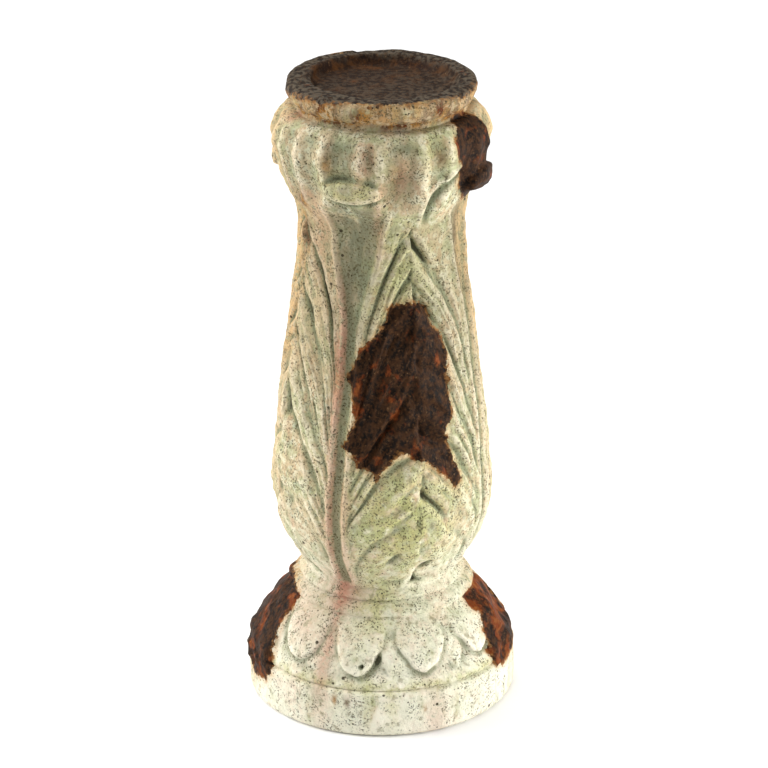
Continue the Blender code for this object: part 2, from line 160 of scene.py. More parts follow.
def base_profile():
    """From the rim of the underside up to the top of the fillet."""
    groove = SKIRT_RADIUS - STEP_GROOVE_DEPTH
    ring_foot = RING_RADIUS - WAIST_GROOVE_DEPTH
    fillet_foot = FILLET_RADIUS - WAIST_GROOVE_DEPTH
    return [
        rounded((PLINTH_RADIUS - PLINTH_EDGE, 0.0), (PLINTH_RADIUS, PLINTH_EDGE), False),
        straight((PLINTH_RADIUS, PLINTH_EDGE), (PLINTH_RADIUS, PLINTH_HEIGHT - PLINTH_EDGE / 2)),
        rounded((PLINTH_RADIUS, PLINTH_HEIGHT - PLINTH_EDGE / 2), (groove, PLINTH_HEIGHT), True),
        rounded((groove, PLINTH_HEIGHT), (SKIRT_RADIUS, SKIRT_FOOT), False),
        flowing(
            (SKIRT_RADIUS, SKIRT_FOOT),
            (SKIRT_BELLY_RADIUS, SKIRT_FOOT + SKIRT_BELLY * 0.65),
            (SKIRT_BELLY_RADIUS * 0.6 + RING_RADIUS * 0.4, SKIRT_FOOT + SKIRT_BELLY),
            (ring_foot, RING_FOOT),
        ),
        flowing(
            (ring_foot, RING_FOOT),
            (RING_RADIUS, RING_FOOT + RING_HEIGHT * 0.2),
            (RING_RADIUS - RING_SLOPE * 0.3, RING_FOOT + RING_HEIGHT * 0.5),
            (RING_RADIUS - RING_SLOPE, RING_FOOT + RING_HEIGHT * 0.85),
            (fillet_foot, FILLET_FOOT),
        ),
        flowing(
            (fillet_foot, FILLET_FOOT),
            (FILLET_RADIUS, FILLET_FOOT + FILLET_HEIGHT * 0.25),
            (WAIST_RADIUS + WAIST_GROOVE_DEPTH / 2, FILLET_FOOT + FILLET_HEIGHT * 0.8),
            (WAIST_RADIUS - WAIST_GROOVE_DEPTH / 2, BODY_FOOT),
        ),
    ]


def body_profile():
    """From the top of the fillet over bulb, shaft and collar to the groove under the disc."""
    bulb_swell = BULB_RADIUS - WAIST_RADIUS
    shaft_fall = BULB_RADIUS - SHOULDER_RADIUS
    collar_swell = COLLAR_RADIUS - NECK_RADIUS
    return [
        flowing(
            (WAIST_RADIUS - WAIST_GROOVE_DEPTH / 2, BODY_FOOT),
            (WAIST_RADIUS + bulb_swell * 0.30, BODY_FOOT + BULB_HEIGHT * 0.24),
            (WAIST_RADIUS + bulb_swell * 0.78, BODY_FOOT + BULB_HEIGHT * 0.60),
            (BULB_RADIUS, BULB_LEVEL),
            (BULB_RADIUS - shaft_fall * 0.30, BULB_LEVEL + SHOULDER_HEIGHT * 0.45),
            (SHOULDER_RADIUS, BULB_LEVEL + SHOULDER_HEIGHT),
            (NECK_RADIUS, NECK_LEVEL),
            (NECK_RADIUS + collar_swell * 0.10, NECK_LEVEL + COLLAR_RISE * 0.20),
            (NECK_RADIUS + collar_swell * 0.42, NECK_LEVEL + COLLAR_RISE * 0.38),
            (NECK_RADIUS + collar_swell * 0.78, NECK_LEVEL + COLLAR_RISE * 0.70),
            (COLLAR_RADIUS, COLLAR_LEVEL),
        ),
        rounded((COLLAR_RADIUS, COLLAR_LEVEL), (COLLAR_NECKING_RADIUS, COLLAR_TOP), True),
        straight((COLLAR_NECKING_RADIUS, COLLAR_TOP), (COLLAR_NECKING_RADIUS, DISC_FOOT)),
    ]


def disc_profile():
    """From the groove under the disc over its rim to the edge of the dish's floor."""
    rim_level = STONE_HEIGHT - DISC_EDGE
    return [
        rounded((COLLAR_NECKING_RADIUS, DISC_FOOT), (DISC_RADIUS, rim_level), False),
        rounded((DISC_RADIUS, rim_level), (DISC_RADIUS - DISC_EDGE, STONE_HEIGHT), True),
        straight((DISC_RADIUS - DISC_EDGE, STONE_HEIGHT), (DISH_RADIUS + DISH_LIP, STONE_HEIGHT)),
        rounded((DISH_RADIUS + DISH_LIP, STONE_HEIGHT), (DISH_RADIUS, STONE_HEIGHT - DISH_LIP), False),
        rounded((DISH_RADIUS, STONE_HEIGHT - DISH_LIP), (DISH_FLOOR_RADIUS, DISH_FLOOR), True),
    ]


# Leaves: four tall leaves are carved round the body. Each has a channelled stem that leans a little, and
# streaked lobes that climb from it to the join with the next leaf. Slits part the outer ends of the left
# lobes, and the right lobes' grooves are shallower.
LEAF_COUNT = 4
LEAF_JOIN_AZIMUTH = 21.0
STEM_FOOT_AZIMUTH = -26.0
STEM_HEAD_AZIMUTH = -17.0
STEM_HALF_WIDTH = 0.0044
STEM_HEAD_HALF_WIDTH = 0.0118
STEM_FLARE_LENGTH = 0.0480
STEM_CHANNEL_DEPTH = 0.0013
STEM_RIB_WIDTH = 0.0016
STEM_RIB_HEIGHT = 0.0010
STEM_TOP_RISE = 0.0215
STEM_TOP_LENGTH = 0.0120
RIGHT_LOBES_BELOW_NECK = -0.0063
RIGHT_LOBE_PITCH = 0.0225
LEFT_LOBES_BELOW_NECK = 0.0013
LEFT_LOBE_PITCH = 0.0270
LOBE_GROWTH = 1.13
LOBE_CLIMBS = ((0.00, 0.012), (0.23, 0.017), (0.50, 0.034), (0.72, 0.034), (0.91, 0.025), (1.05, 0.020))
LOBE_ROOT = 0.06
LOBE_GROOVE_DEPTH = 0.0018
LOBE_GROOVE_SHARE = 0.15
RIGHT_GROOVE_DEPTH_SHARE = 0.60
LOBE_CROWN = 0.0009
LOBE_END_DEPTH = 0.0008
LEAF_FOOT_LENGTH = 0.0050
LEAF_HEAD_RISE = 0.0113
LEAF_HEAD_LENGTH = 0.0090
SLIT_DEPTH = 0.0026
SLIT_WIDTH = 0.0012
STREAKS_PER_LOBE = 5.0
STREAK_DEPTH = 0.0009
EYE_DEPTH = 0.0024
EYE_WIDTH = 0.0020
EYE_LENGTH = 0.0038
EYE_OFF_JOIN = 0.0125
EYE_LEVEL = 0.0205
LOW_EYE_OFF_JOIN = 0.0050
LOW_EYE_LEVEL = 0.0145

LUMP_CORNER = (-0.09, -0.09, -0.01)
LUMP_EXTENT = (0.18, 0.18, 0.35)
LEAST_RADIUS = 0.03


def around(azimuth, first, count):
    """Degrees from the nearest of count equal places round the axis."""
    step = 360.0 / count
    return np.mod(azimuth - first + step / 2, step) - step / 2


def stem_azimuth(height):
    """The stems lean a little as they climb."""
    climb = np.clip((height - BODY_FOOT) / (NECK_LEVEL - BODY_FOOT), 0.0, 1.0)
    return STEM_FOOT_AZIMUTH + (STEM_HEAD_AZIMUTH - STEM_FOOT_AZIMUTH) * climb


def stem_half_width(height):
    """The stem opens out below its curled tip."""
    flare = ease((height - NECK_LEVEL + STEM_FLARE_LENGTH) / STEM_FLARE_LENGTH)
    opening = ease((height - NECK_LEVEL) / STEM_OPENING_LENGTH)
    return (
        STEM_HALF_WIDTH
        + (STEM_HEAD_HALF_WIDTH - STEM_HALF_WIDTH) * flare
        + (TIP_HALF_WIDTH - STEM_HEAD_HALF_WIDTH) * opening
    )


def lobe_number(share, height, left_half):
    """Which lobe a point is on, counted down from the neck, and how far down that lobe, as one number."""
    level = (height - BODY_FOOT) / (NECK_LEVEL - BODY_FOOT)
    climb = np.interp(level, *zip(*LOBE_CLIMBS)) * np.log((1.0 + LOBE_ROOT) / (share + LOBE_ROOT))
    start = np.where(left_half, LEFT_LOBES_BELOW_NECK, RIGHT_LOBES_BELOW_NECK)
    pitch = np.where(left_half, LEFT_LOBE_PITCH, RIGHT_LOBE_PITCH)
    below = np.maximum((NECK_LEVEL - start - height - climb) / pitch, -2.0)
    return np.log1p(below * (LOBE_GROWTH - 1.0)) / math.log(LOBE_GROWTH), pitch


def lumps(points, size, seed):
    """Smooth seeded unevenness between -1 and 1, with lumps of the given size."""
    cell = (points - np.array(LUMP_CORNER)) / size
    base = np.floor(cell).astype(int)
    share = cell - base
    share = share * share * (3.0 - 2.0 * share)
    shape = [math.ceil(extent / size) + 2 for extent in LUMP_EXTENT]
    lattice = np.random.default_rng(seed).uniform(-1.0, 1.0, shape)
    total = np.zeros(len(points))
    for corner in np.ndindex(2, 2, 2):
        weight = np.prod(np.where(corner, share, 1.0 - share), axis=1)
        total = total + weight * lattice[tuple((base + corner).T)]
    return total


def streaked(along, across, seed):
    """Smooth seeded unevenness between -1 and 1 that runs in streaks along a leaf's lobes."""
    lattice = np.random.default_rng(seed).uniform(-1.0, 1.0, (64, 16))
    row, column = np.floor(across).astype(int), np.floor(along).astype(int)
    up, on = ease(across - row), ease(along - column)
    corners = [lattice[np.mod(row + i, 64), np.mod(column + j, 16)] for i in (0, 1) for j in (0, 1)]
    below = corners[0] * (1 - on) + corners[1] * on
    over = corners[2] * (1 - on) + corners[3] * on
    return below * (1 - up) + over * up


def eye_cut(across, above):
    """A drilled eye, drawn out into a slanting drop."""
    along = (across + above) / math.sqrt(2) / EYE_LENGTH
    athwart = (across - above) / math.sqrt(2) / EYE_WIDTH
    return EYE_DEPTH * ridge(np.hypot(along, athwart), 1.0)


def lobes_cut(share, height, left_half, leaf):
    """The lobes of half a leaf, with streaks along them. share is 0 at the stem and 1 at the join."""
    lobe, pitch = lobe_number(share, height, left_half)
    half = 18.0 * leaf + 9.0 * left_half
    lobe = lobe + 0.16 * streaked(2.0 * share, 1.1 * lobe + half, 51)
    part = np.mod(lobe, 1.0)
    to_groove = np.minimum(part, 1.0 - part)
    outward = ease(share / 0.45)
    groove = LOBE_GROOVE_DEPTH * np.where(left_half, 1.0, RIGHT_GROOVE_DEPTH_SHARE)
    groove = groove * ridge(to_groove, LOBE_GROOVE_SHARE) * (0.30 + 0.70 * outward)
    groove = groove * (0.80 + 0.60 * streaked(3.0 * share, 1.7 * lobe + half, 52))
    crown = (LOBE_CROWN * outward + LOBE_END_DEPTH * ease((share - 0.85) / 0.15)) * (2.0 * part - 1.0) ** 2
    streaks = streaked(3.0 * share, STREAKS_PER_LOBE * lobe + half, 53)
    streaks = streaks + 0.6 * streaked(6.0 * share, 2.3 * STREAKS_PER_LOBE * lobe + half, 54)
    streaks = STREAK_DEPTH * streaks * (1.0 - 0.4 * ease((BODY_FOOT + 0.045 - height) / 0.02))
    off_slit = to_groove * pitch * LOBE_GROWTH**lobe / 2.0
    slit = SLIT_DEPTH * ridge(off_slit, SLIT_WIDTH) * ease((share - 0.55) / 0.20) * left_half
    slit = slit * np.clip(0.5 + streaked(3.0 * share, 1.3 * lobe + half, 55), 0.0, 1.0)
    return np.where(lobe > -0.4, groove + crown + streaks + slit, 0.0)


def leaf_cut(azimuth, height, radius):
    """How deep the leaves are cut below the turned form."""
    length = np.radians(radius)
    sector = 360.0 / LEAF_COUNT
    past_join = np.mod(azimuth - LEAF_JOIN_AZIMUTH, sector)
    leaf = np.floor(np.mod(azimuth - LEAF_JOIN_AZIMUTH, 360.0) / sector)
    stem_place = np.mod(stem_azimuth(height) - LEAF_JOIN_AZIMUTH, sector)
    left_half = past_join < stem_place
    span = np.where(left_half, stem_place, sector - stem_place) * length
    from_stem = np.abs(past_join - stem_place) * length
    half_width = stem_half_width(height)
    share = np.clip((from_stem - half_width) / (span - half_width), 0.0, 1.0)
    head = ease((height - NECK_LEVEL + STEM_FLARE_LENGTH) / STEM_FLARE_LENGTH)
    inside = np.clip(from_stem / half_width, 0.0, 1.0)
    channel = STEM_CHANNEL_DEPTH * (1.0 + head) * (1.0 - inside**2)
    stem_ends = ease((NECK_LEVEL + STEM_TOP_RISE - height) / STEM_TOP_LENGTH)
    lobes_end = ease((NECK_LEVEL + LEAF_HEAD_RISE - height) / LEAF_HEAD_LENGTH)
    lobes = lobes_cut(share, height, left_half, leaf) * lobes_end
    cut = np.where(from_stem < half_width, channel * stem_ends, lobes)
    rib = ridge(from_stem - half_width, STEM_RIB_WIDTH)
    cut = cut * (1.0 - rib) - STEM_RIB_HEIGHT * rib * stem_ends
    join = around(azimuth, LEAF_JOIN_AZIMUTH, LEAF_COUNT) * length
    above = height - BODY_FOOT
    cut = cut + eye_cut(join + EYE_OFF_JOIN, above - EYE_LEVEL)
    cut = cut + eye_cut(join - LOW_EYE_OFF_JOIN, above - LOW_EYE_LEVEL)
    return cut * ease(above / LEAF_FOOT_LENGTH)


# Petals: eleven broad ones lap over the skirt, and the tips of smaller ones show between them.
# Deep pockets are cut beside the small tips.
PETAL_COUNT = 11
PETAL_AZIMUTH = -11.6
PETAL_HALF_WIDTH = 0.0122
PETAL_LENGTH = 0.0222
PETAL_DEPTH = 0.0020
SMALL_PETAL_HALF_WIDTH = 0.0066
SMALL_PETAL_LENGTH = 0.0252
SMALL_PETAL_DEPTH = 0.0013
POCKET_DEPTH = 0.0024
POCKET_OFF_MIDDLE = 0.0092
POCKET_LEVEL = 0.0165
POCKET_HALF_WIDTH = 0.0026
POCKET_HALF_HEIGHT = 0.0042
HOLE_AZIMUTH = -9.8
HOLE_LEVEL = 0.0369
HOLE_DEPTH = 0.0032
HOLE_RADIUS = 0.0009


def petal_inside(azimuth, height, radius, first, half_width, length):
    """How far inside a petal's outline, and how far off its middle line, as shares of its half width."""
    across = np.abs(around(azimuth, first, PETAL_COUNT)) * np.radians(radius) / half_width
    down = np.clip((RING_FOOT - height) / length, 0.0, 1.0)
    outline = np.sqrt(1.0 - np.clip((down - 0.40) / 0.60, 0.0, 1.0) ** 1.8)
    return outline - across, np.clip(across, 0.0, 1.0)


def petal_cut(azimuth, height, radius):
    """How deep the skirt is cut: large petals stand highest, and small ones show between them."""
    angle = np.radians(azimuth)
    place = np.column_stack((radius * np.sin(angle), -radius * np.cos(angle), height))
    azimuth = azimuth + np.degrees(0.0020 * lumps(place, 0.009, 61) / np.maximum(radius, LEAST_RADIUS))
    height = height + 0.0022 * lumps(place, 0.010, 62)
    large, across = petal_inside(azimuth, height, radius, PETAL_AZIMUTH, PETAL_HALF_WIDTH, PETAL_LENGTH)
    between = PETAL_AZIMUTH + 180.0 / PETAL_COUNT
    small, small_across = petal_inside(
        azimuth, height, radius, between, SMALL_PETAL_HALF_WIDTH, SMALL_PETAL_LENGTH
    )
    pillow = 0.4 * PETAL_DEPTH * across**3
    tongue = SMALL_PETAL_DEPTH * (1.0 + 0.4 * small_across**2)
    off_middle = np.abs(around(azimuth, PETAL_AZIMUTH, PETAL_COUNT)) * np.radians(radius) - POCKET_OFF_MIDDLE
    under_level = RING_FOOT - height - POCKET_LEVEL
    pocket = np.hypot(off_middle / POCKET_HALF_WIDTH, under_level / POCKET_HALF_HEIGHT)
    floor_cut = PETAL_DEPTH * (0.80 + 0.60 * lumps(place, 0.011, 63))
    pocket_share = np.clip(0.6 + 1.3 * lumps(place, 0.017, 64), 0.0, 1.4)
    floor_cut = floor_cut + POCKET_DEPTH * ridge(pocket, 1.0) * pocket_share
    cut = floor_cut + (tongue - floor_cut) * ease(small / 0.40)
    cut = cut + (pillow - cut) * ease((large + 0.04) / 0.22)
    window = ease((height - SKIRT_FOOT) / 0.007) * ease((RING_FOOT - height) / 0.009)
    return cut * window * (1.0 - crusted(azimuth)) + hole_cut(azimuth, height, radius)


def crusted(azimuth):
    """1 on the two sides of the base where a thick crust hides the petals and the step."""
    off = np.abs(around(azimuth, 0.0, 1))
    return ease((off - 57.0) / 6.0) * ease((116.0 - off) / 6.0)


def hole_cut(azimuth, height, radius):
    """The one round hole in a petal."""
    across = around(azimuth, HOLE_AZIMUTH, 1) * np.radians(radius)
    return HOLE_DEPTH * ridge(np.hypot(across, height - HOLE_LEVEL), HOLE_RADIUS)


# Collar: broad and narrow flutes in turn, each from one of these azimuths to the next. Four leaf tips
# curl out of it, one on each stem. They are equally wide, and differ in reach and in level.
FLUTE_EDGES = (
    -66.0, -50.5, -33.5, -11.0, -2.0, 23.5, 39.5, 62.0, 72.0, 98.0, 113.0,
    137.0, 147.0, 172.0, 188.0, 213.0, 223.0, 248.0, 263.0, 284.0, 294.0,
)
FLUTE_DEPTH = 0.0030
BROAD_FLUTE = 25.0
TIP_HALF_WIDTH = 0.0170
TIP_RISE = 0.0078
TIP_DROP = 0.0076
TIP_REACHES = (0.0042, 0.0046, 0.0060, 0.0035)
TIPS_BELOW_COLLAR = (0.0126, 0.0160, 0.0120, 0.0130)
STEM_OPENING_LENGTH = 0.0140
MARGIN_AZIMUTH = 52.0
MARGIN_LEVEL = 0.0135
MARGIN_WIDTH = 27.0
MARGIN_RISE = 0.0215
MARGIN_HEIGHT = 0.0012
MARGIN_HOLLOW_DEPTH = 0.0020
MARGIN_FOOT = 0.0080


def flute_off(azimuth):
    """How far off the middle of its flute a place is, from 0 to 1 at its edges, and the flute's width."""
    edges = np.array(FLUTE_EDGES)
    turned = np.mod(azimuth - edges[0], 360.0) + edges[0]
    number = np.clip(np.searchsorted(edges, turned, side="right"), 1, len(edges) - 1)
    width = edges[number] - edges[number - 1]
    return np.abs(2.0 * (turned - edges[number - 1]) / width - 1.0), width


def flute_cut(azimuth, height):
    """How deep the flutes are cut into the collar."""
    off, width = flute_off(azimuth)
    cut = FLUTE_DEPTH * width / BROAD_FLUTE * np.cos(math.pi / 2.0 * off**1.3) ** 2
    rise = ease((height - NECK_LEVEL - COLLAR_RISE * 0.20) / (COLLAR_RISE * 0.45))
    cap = ease((COLLAR_TOP - height) / (COLLAR_CAP * 0.5))
    return cut * rise * cap


def tip_rise(azimuth, height, radius):
    """How far the curled leaf tips stand out of the neck and the collar. Each is a lens with a low brow."""
    rise = np.zeros(len(height))
    for number, (reach, below_collar) in enumerate(zip(TIP_REACHES, TIPS_BELOW_COLLAR)):
        off = around(azimuth, STEM_HEAD_AZIMUTH + 90.0 * number, 1)
        across = np.clip(np.abs(off) * np.radians(radius) / TIP_HALF_WIDTH, 0.0, 1.0)
        lens = np.maximum((1.0 - across**2) ** 0.75, 0.1)
        above = height - (COLLAR_LEVEL - below_collar)
        brow = np.clip(above / (TIP_RISE * lens), 0.0, 1.0)
        under = np.clip(-above / (TIP_DROP * lens), 0.0, 1.0)
        face = np.where(above > 0.0, (1.0 - 0.80 * brow**1.2) * ease((1.0 - brow) / 0.50), 1.0 + 0.10 * under)
        side = ease((1.0 - across) / 0.30) * (0.40 + 0.60 * lens)
        rise = np.maximum(rise, reach * face * side * ease((1.0 - under) / 0.40))
    return rise


def margin_place(azimuth, height):
    """How far along the margin's arch a place lies from its middle, and how much of the arch stands there."""
    off = around(azimuth, MARGIN_AZIMUTH, 1) / MARGIN_WIDTH
    above = height - NECK_LEVEL - MARGIN_LEVEL
    stands = ease((0.15 - off) / 0.30) * ease((above + MARGIN_FOOT) / MARGIN_FOOT)
    return np.hypot(off, above / MARGIN_RISE), stands


def margin_rise(azimuth, height):
    """The margin of one leaf head: a raised arch over a hollow, from the tip down to the left."""
    reach, stands = margin_place(azimuth, height)
    raised = MARGIN_HEIGHT * ridge(reach - 1.03, 0.09)
    return (raised - MARGIN_HOLLOW_DEPTH * ridge(reach - 0.84, 0.11)) * stands


# Wear: the pale coat is lumpy. It has come off in patches, where the rust-brown crust of the casting
# shows. Each patch is an outline of (azimuth in degrees, height in mm) points, and PATCHES adds the
# stone's radius there.
BODY_PATCH = (
    (4, 217.5), (12, 220), (19, 220), (33.5, 215), (33, 209), (41, 201), (44.5, 193), (43, 185),
    (44.5, 175), (42.7, 169), (42.6, 158), (37.4, 154.7), (42.4, 138.7), (46, 127), (41.3, 123.2),
    (30.6, 135), (19.8, 141.8), (16.5, 141.4), (13.8, 145), (10.2, 146), (5.8, 141.5), (1.5, 137.6),
    (-2.8, 131), (-5.6, 136), (-12.8, 138.5), (-15, 144.3), (-22.2, 148), (-19.3, 152.5), (-14.4, 163),
    (-16.3, 170), (-18.3, 177), (-22, 182), (-18.2, 189), (-14, 196), (-9, 201), (-1.6, 205.4), (1.8, 211),
)
LEFT_PATCH = (
    (-110, 59.7), (-80.4, 60), (-61.2, 57), (-63.2, 53.8), (-61.7, 49), (-62.6, 44), (-60.8, 39),
    (-59.7, 33.7), (-56.4, 26.4), (-54.5, 20.6), (-61, 13.8), (-72.3, 11.5), (-90, 14), (-112, 22),
    (-118, 44),
)
RIGHT_PATCH = (
    (100, 58), (84.9, 56.5), (62.4, 55.6), (61.4, 51), (64.4, 45.3), (59.4, 40.5), (59.3, 33.6),
    (56.7, 31.3), (59.3, 22.4), (68.3, 20.2), (83.8, 21.6), (102, 25), (112, 40),
)
COLLAR_PATCH = (
    (48, 304), (43, 299), (44, 292), (50, 284), (50, 276), (55, 270), (62, 264), (74, 263), (86, 268),
    (94, 279), (92, 285), (80, 290), (77, 298), (72, 306), (60, 309), (52, 308),
)
PATCHES = ((BODY_PATCH, 0.0485), (LEFT_PATCH, 0.060), (RIGHT_PATCH, 0.060), (COLLAR_PATCH, 0.050))
CRUST_LEVELS = (PLINTH_HEIGHT - 0.0060, SKIRT_FOOT + 0.0040, SKIRT_FOOT + SKIRT_BELLY * 0.65)
CRUST_RADII = (PLINTH_RADIUS, SKIRT_RADIUS + 0.0004, SKIRT_BELLY_RADIUS + 0.0004)
SOFT_LUMPS = ((0.00035, 0.014, 22), (0.00034, 0.0052, 23), (0.00024, 0.0025, 27))
CRUST_LUMPS = ((0.0010, 0.012, 24), (0.00040, 0.0055, 25), (0.00018, 0.0028, 26))
CARVING_WANDER = 0.0007
FOLD_DEPTH = 0.0021
FOLD_STRETCH = (0.45, 0.45, 1.0)
BOULDER_HEIGHT = 0.0021


def inside_patch(azimuth, height, outline, radius):
    """Metres inside a patch's outline, negative outside it."""
    corners = np.array(outline)
    middle = corners[:, 0].mean()
    across = np.radians(around(azimuth, middle, 1)) * radius
    place = np.column_stack((across, height))
    corners = np.column_stack((np.radians(corners[:, 0] - middle) * radius, corners[:, 1] / 1000.0))
    distance = np.full(len(place), 1.0)
    crossings = np.zeros(len(place), int)
    for start, end in zip(corners, np.roll(corners, -1, axis=0)):
        edge = end - start
        along = np.clip((place - start) @ edge / (edge @ edge), 0.0, 1.0)
        distance = np.minimum(distance, np.hypot(*(place - start - along[:, None] * edge).T))
        spans = (start[1] > height) != (end[1] > height)
        rise = edge[1] if edge[1] else 1.0
        crossings += spans & (across < start[0] + (height - start[1]) / rise * edge[0])
    return np.where(crossings % 2 == 1, distance, -distance)


def crust_depth(points):
    """Metres inside the nearest patch of bare crust, negative on the lime coat."""
    azimuth, height = azimuths(points), points[:, 2]
    radius = np.hypot(points[:, 0], points[:, 1])
    shade = np.maximum(ridge(around(azimuth, -95, 1), 48), ridge(around(azimuth, 130, 1), 60))
    rim = height - (STONE_HEIGHT + 0.0002 - 0.0072 * shade) + 0.0021 * lumps(points, 0.008, 31)
    rim = np.where(radius < DISC_RADIUS - DISC_EDGE, 0.004, rim)
    depths = [inside_patch(azimuth, height, outline, reach) for outline, reach in PATCHES]
    depths.append(np.where(height > DISC_FOOT + 0.002, rim, -0.05))
    return np.max(depths, axis=0)


def azimuths(points):
    return np.degrees(np.arctan2(points[:, 0], -points[:, 1]))


def carving(points, radius):
    """How far the carved surface lies below the turned form, negative where it stands proud."""
    azimuth, height = azimuths(points), points[:, 2]
    wander = np.column_stack([lumps(points, 0.016, 11), lumps(points, 0.016, 12)])
    azimuth = azimuth + np.degrees(CARVING_WANDER * wander[:, 0] / np.maximum(radius, LEAST_RADIUS))
    height = height + CARVING_WANDER * wander[:, 1]
    on_leaves = (points[:, 2] > BODY_FOOT) & (points[:, 2] < COLLAR_LEVEL)
    on_skirt = (points[:, 2] > SKIRT_FOOT) & (points[:, 2] < RING_FOOT)
    on_collar = (points[:, 2] > NECK_LEVEL) & (points[:, 2] < COLLAR_TOP)
    cut = np.where(on_leaves, leaf_cut(azimuth, height, radius), 0.0)
    cut = cut + np.where(on_skirt, petal_cut(azimuth, height, radius), 0.0)
    rise = np.where(on_leaves, tip_rise(azimuth, height, radius), 0.0)
    cut = cut - np.where(on_leaves, margin_rise(azimuth, height), 0.0)
    flutes = np.where(on_collar, flute_cut(azimuth, height), 0.0)
    return cut + flutes * (1.0 - ease(rise / FLUTE_DEPTH)) - rise


def lumpy(points, layers):
    """Lumps of several sizes laid over each other. A layer is a height, a size and a seed."""
    return sum(height * lumps(points, size, seed) for height, size, seed in layers)


def unevenness(points):
    """Soft lumps all over. The crust has larger ones, folds on the body, and boulders low on the base."""
    depth = crust_depth(points) + 0.0008 * lumps(points, 0.005, 21)
    bare = ease(depth / 0.0022)
    low = ease((0.075 - points[:, 2]) / 0.01)
    folds = FOLD_DEPTH * (0.35 - np.abs(lumps(points * np.array(FOLD_STRETCH), 0.0085, 28)))
    folds = folds * (1.0 - low) * ease((DISC_FOOT - points[:, 2]) / 0.004)
    boulders = BOULDER_HEIGHT * low * lumps(points, 0.0095, 29)
    crusty = lumpy(points, CRUST_LUMPS) * (1.0 + 0.9 * low) + boulders + folds
    return lumpy(points, SOFT_LUMPS) + bare * (crusty - 0.0004 + 0.0003 * low)


def carved(points):
    """The turned form's points, moved to the carved and worn surface."""
    radius = np.hypot(points[:, 0], points[:, 1])
    height = points[:, 2]
    flat = ease((radius - DISH_FLOOR_RADIUS) / 0.003) * ease(height / 0.003)
    uneven = flat * unevenness(points)
    bulk = np.interp(height, CRUST_LEVELS, CRUST_RADII)
    filled = np.where((height > CRUST_LEVELS[0]) & (height < CRUST_LEVELS[-1]), bulk, 0.0)
    cut = carving(points, radius)
    cut = cut - crusted(azimuths(points)) * np.maximum(filled - radius + cut, 0.0)
    in_dish = (radius < DISH_RADIUS + 0.0005) & (height > DISH_FLOOR - 0.001)
    on_top = (height > STONE_HEIGHT - DISC_EDGE * 0.5) | in_dish
    scale = 1.0 + np.where(on_top, 0.0, uneven - cut) / np.maximum(radius, PLINTH_EDGE)
    lift = np.where(on_top, np.minimum(uneven * 0.8, 0.0006), 0.0)
    askew = ease((height - DISH_FLOOR) / DISH_DEPTH) * ease((DISC_RADIUS - DISC_EDGE - radius) / 0.005)
    aside = askew * (0.0016 + 0.0011 * lumps(points, 0.013, 71))
    back = askew * (0.0014 + 0.0011 * lumps(points, 0.013, 72))
    scaled = points * np.column_stack((scale, scale, np.ones(len(points))))
    return scaled + np.column_stack((aside, back, lift))


def turned_form():
    rows = np.vstack(base_profile() + body_profile() + disc_profile() + [(DISH_FLOOR_RADIUS, DISH_FLOOR)])
    line = [(i, i + 1) for i in range(len(rows) - 1)]
    mesh = bpy.data.meshes.new("profile")
    mesh.from_pydata([(radius, 0.0, height) for radius, height in rows.tolist()], line, [])
    blank = bpy.data.objects.new("blank", mesh)
    scene.collection.objects.link(blank)
    turn = blank.modifiers.new("turn", "SCREW")
    turn.steps = turn.render_steps = COLUMNS
    turn.use_merge_vertices = True
    turn.merge_threshold = 1e-5
    return evaluated_copy(blank)


def evaluated_copy(shape):
    """The shape's mesh with its modifiers applied. The shape itself is removed."""
    graph = bpy.context.evaluated_depsgraph_get()
    mesh = bpy.data.meshes.new_from_object(shape.evaluated_get(graph))
    bpy.data.objects.remove(shape)
    return mesh


def places(mesh):
    points = np.empty(len(mesh.vertices) * 3)
    mesh.vertices.foreach_get("co", points)
    return points.reshape(-1, 3)


KEPT_TRIANGLES = 194000


def thinned(mesh):
    """The mesh with only the triangles that its form needs."""
    shape = bpy.data.objects.new("thick", mesh)
    scene.collection.objects.link(shape)
    thin = shape.modifiers.new("thin", "DECIMATE")
    thin.ratio = min(1.0, KEPT_TRIANGLES / sum(len(face.vertices) - 2 for face in mesh.polygons))
    return evaluated_copy(shape)


def closed(mesh):
    """The carved skin closed by a flat underside and a flat dish floor."""
    skin = bmesh.new()
    skin.from_mesh(mesh)
    rims = [edge for edge in skin.edges if edge.is_boundary]
    for vertex in {vertex for edge in rims for vertex in edge.verts}:
        vertex.co.z = 0.0 if vertex.co.z < STONE_HEIGHT / 2 else DISH_FLOOR
    flats = bmesh.ops.holes_fill(skin, edges=rims)["faces"]
    bmesh.ops.triangulate(skin, faces=flats)
    bmesh.ops.recalc_face_normals(skin, faces=skin.faces)
    skin.to_mesh(mesh)
    skin.free()
    return mesh


mesh = turned_form()
mesh.vertices.foreach_set("co", carved(places(mesh)).ravel())
mesh.update()
mesh = closed(thinned(mesh))
mesh.name = "carved_stone"
mesh.shade_smooth()
stone = bpy.data.objects.new("carved_stone", mesh)
scene.collection.objects.link(stone)
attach(stone, "root")
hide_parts("baluster")


